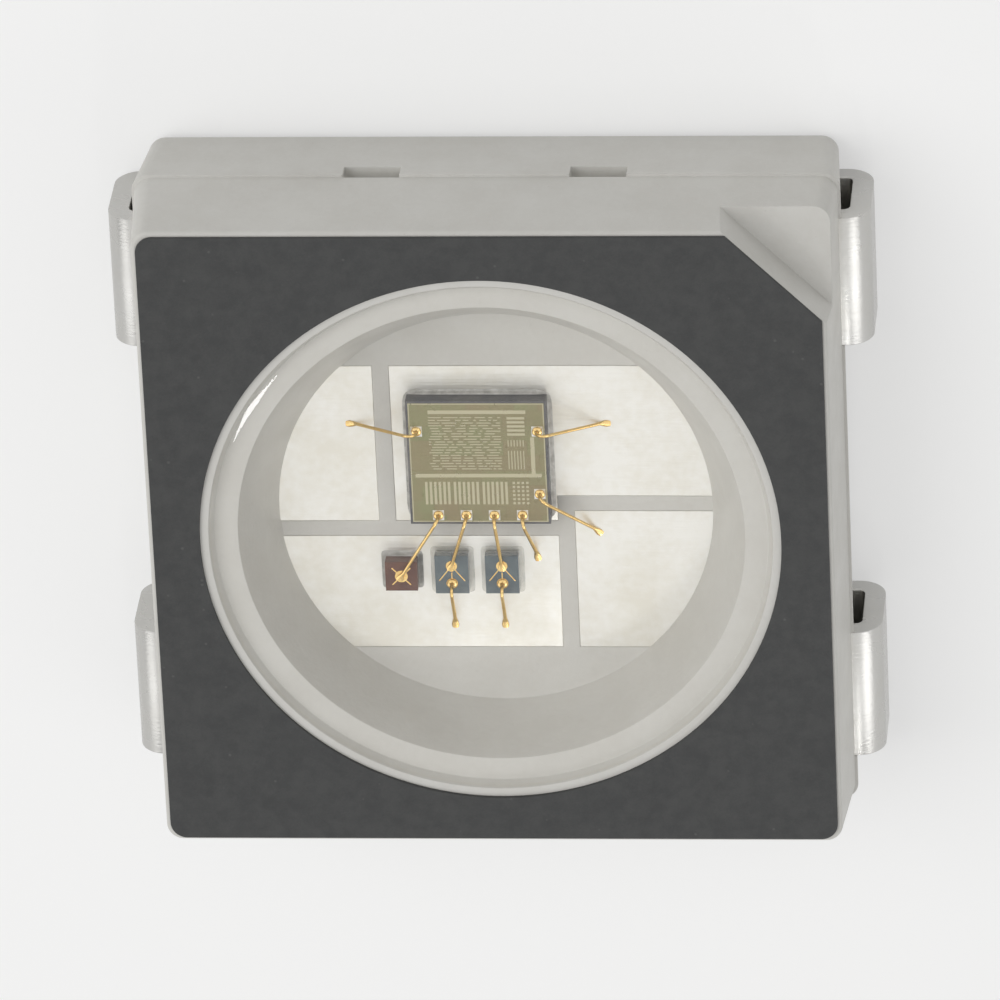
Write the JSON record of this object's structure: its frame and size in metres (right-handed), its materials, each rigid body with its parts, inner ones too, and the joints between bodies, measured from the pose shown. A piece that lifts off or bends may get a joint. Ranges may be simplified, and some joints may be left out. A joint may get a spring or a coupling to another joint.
{
  "type": "surface-mount rgb led",
  "caption": "Square surface-mount RGB LED with a black face, round resin-filled window, driver chip, dies, bond wires and J-bent solder leads.",
  "frame": {"origin": "middle of the package on the plane of the solder feet", "axes": "+Z the way the light leaves, out of the window; +X across the package from one row of leads to the other; the corner mark is at +X, +Y"},
  "size_m": [0.0054, 0.005, 0.0016],
  "materials": {
    "white_plastic": "satin",
    "black_coat": "matte",
    "clear_resin": "gloss",
    "silver_plating": "satin",
    "silicon": "satin",
    "red_crystal": "satin",
    "sapphire": "gloss",
    "silver_glue": "satin",
    "clear_glue": "gloss",
    "gold_wire": "polished"
  },
  "bodies": {
    "root": {"housing": "white_plastic", "face_coat": "black_coat", "clear_resin": "clear_resin", "lead_data_out": "silver_plating", "lead_ground": "silver_plating", "lead_supply": "silver_plating", "lead_data_in": "silver_plating", "driver_chip": "silicon", "red_die": "red_crystal", "green_die": "sapphire", "blue_die": "sapphire", "driver_chip_glue": "silver_glue", "red_die_glue": "silver_glue", "green_die_glue": "clear_glue", "blue_die_glue": "clear_glue", "wire_red": "gold_wire", "wire_green": "gold_wire", "wire_blue": "gold_wire", "wire_supply": "gold_wire", "wire_data_out": "gold_wire", "wire_ground": "gold_wire", "wire_data_in": "gold_wire", "wire_green_return": "gold_wire", "wire_blue_return": "gold_wire"}
  },
  "joints": []
}
